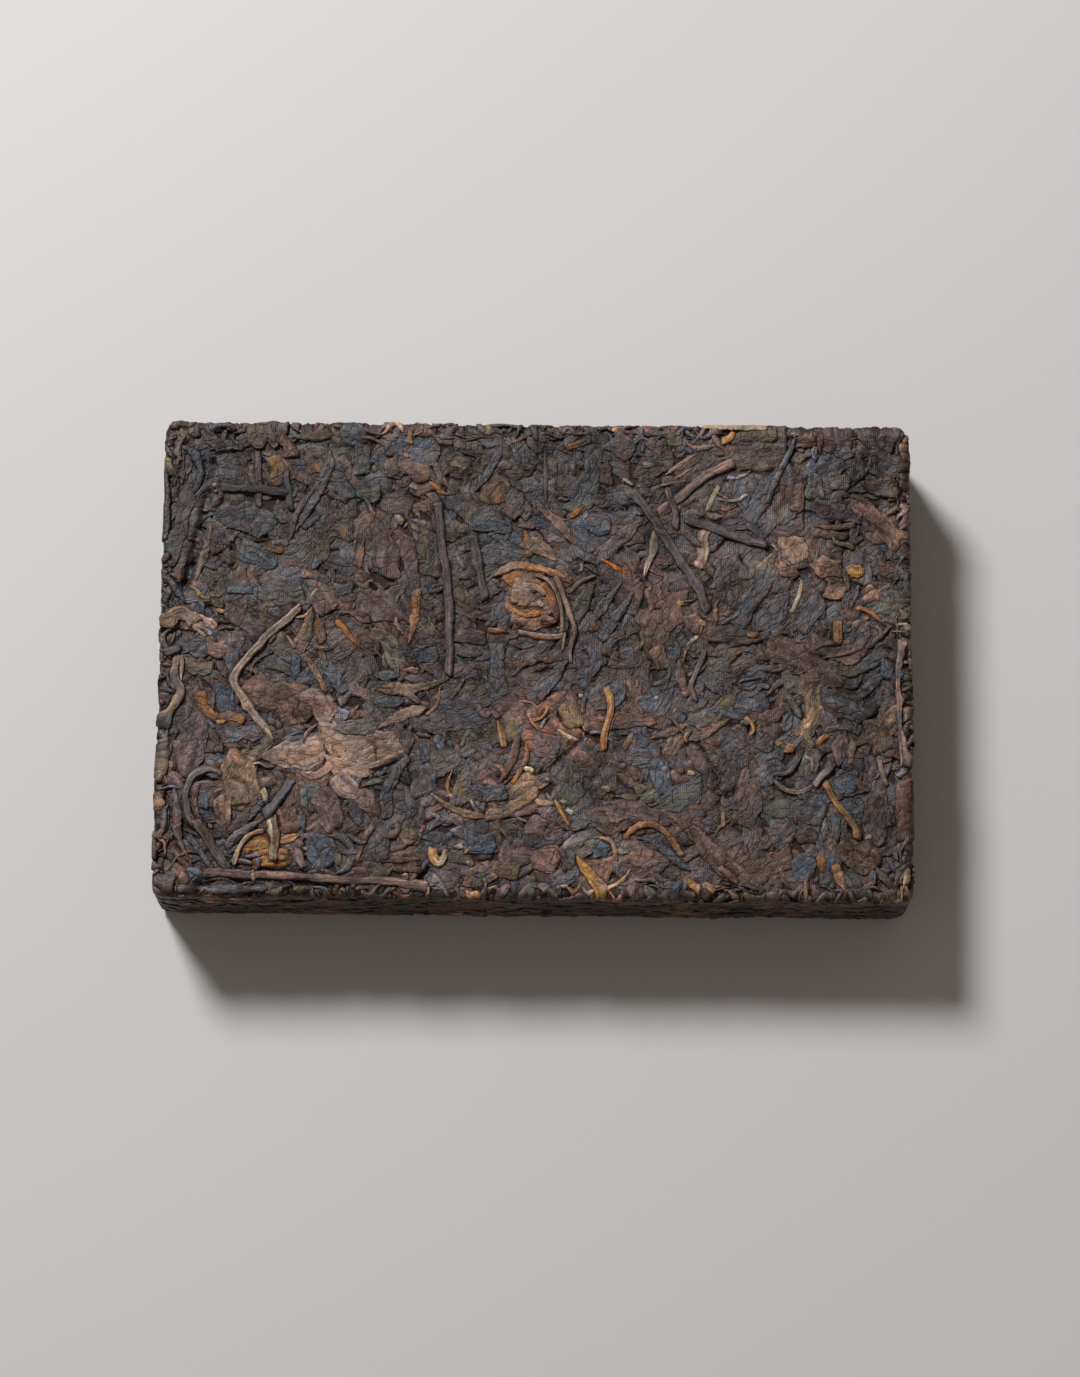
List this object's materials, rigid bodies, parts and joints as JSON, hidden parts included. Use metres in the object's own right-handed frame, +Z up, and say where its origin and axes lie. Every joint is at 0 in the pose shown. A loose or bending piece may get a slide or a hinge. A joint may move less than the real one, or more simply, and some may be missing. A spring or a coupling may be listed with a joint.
{
  "type": "pu erh tea brick",
  "caption": "Flat rectangular brick of pressed dark tea leaf with worn rounded edges, a leafy upper face crossed by stalks, and a flat back.",
  "frame": {"origin": "middle of the underside, on the surface that the brick lies on", "axes": "+X along the brick's length, +Y across it towards its back edge, +Z up through the pressed face"},
  "size_m": [0.14, 0.09, 0.02],
  "materials": {
    "pressed_tea": "matte pressed dark brown tea leaf",
    "dark_leaf": "dry dark purple-brown leaf with a faint sheen",
    "slate_leaf": "dry slate grey to olive grey leaf with a faint sheen",
    "brown_leaf": "dry reddish brown to pinkish tan leaf, matte",
    "stalk": "dry grey-brown woody stalk, matte",
    "golden_bud": "dry golden orange bud and straw twig, satin"
  },
  "bodies": {
    "root": {"pressed_brick": "pressed_tea"}
  },
  "joints": []
}
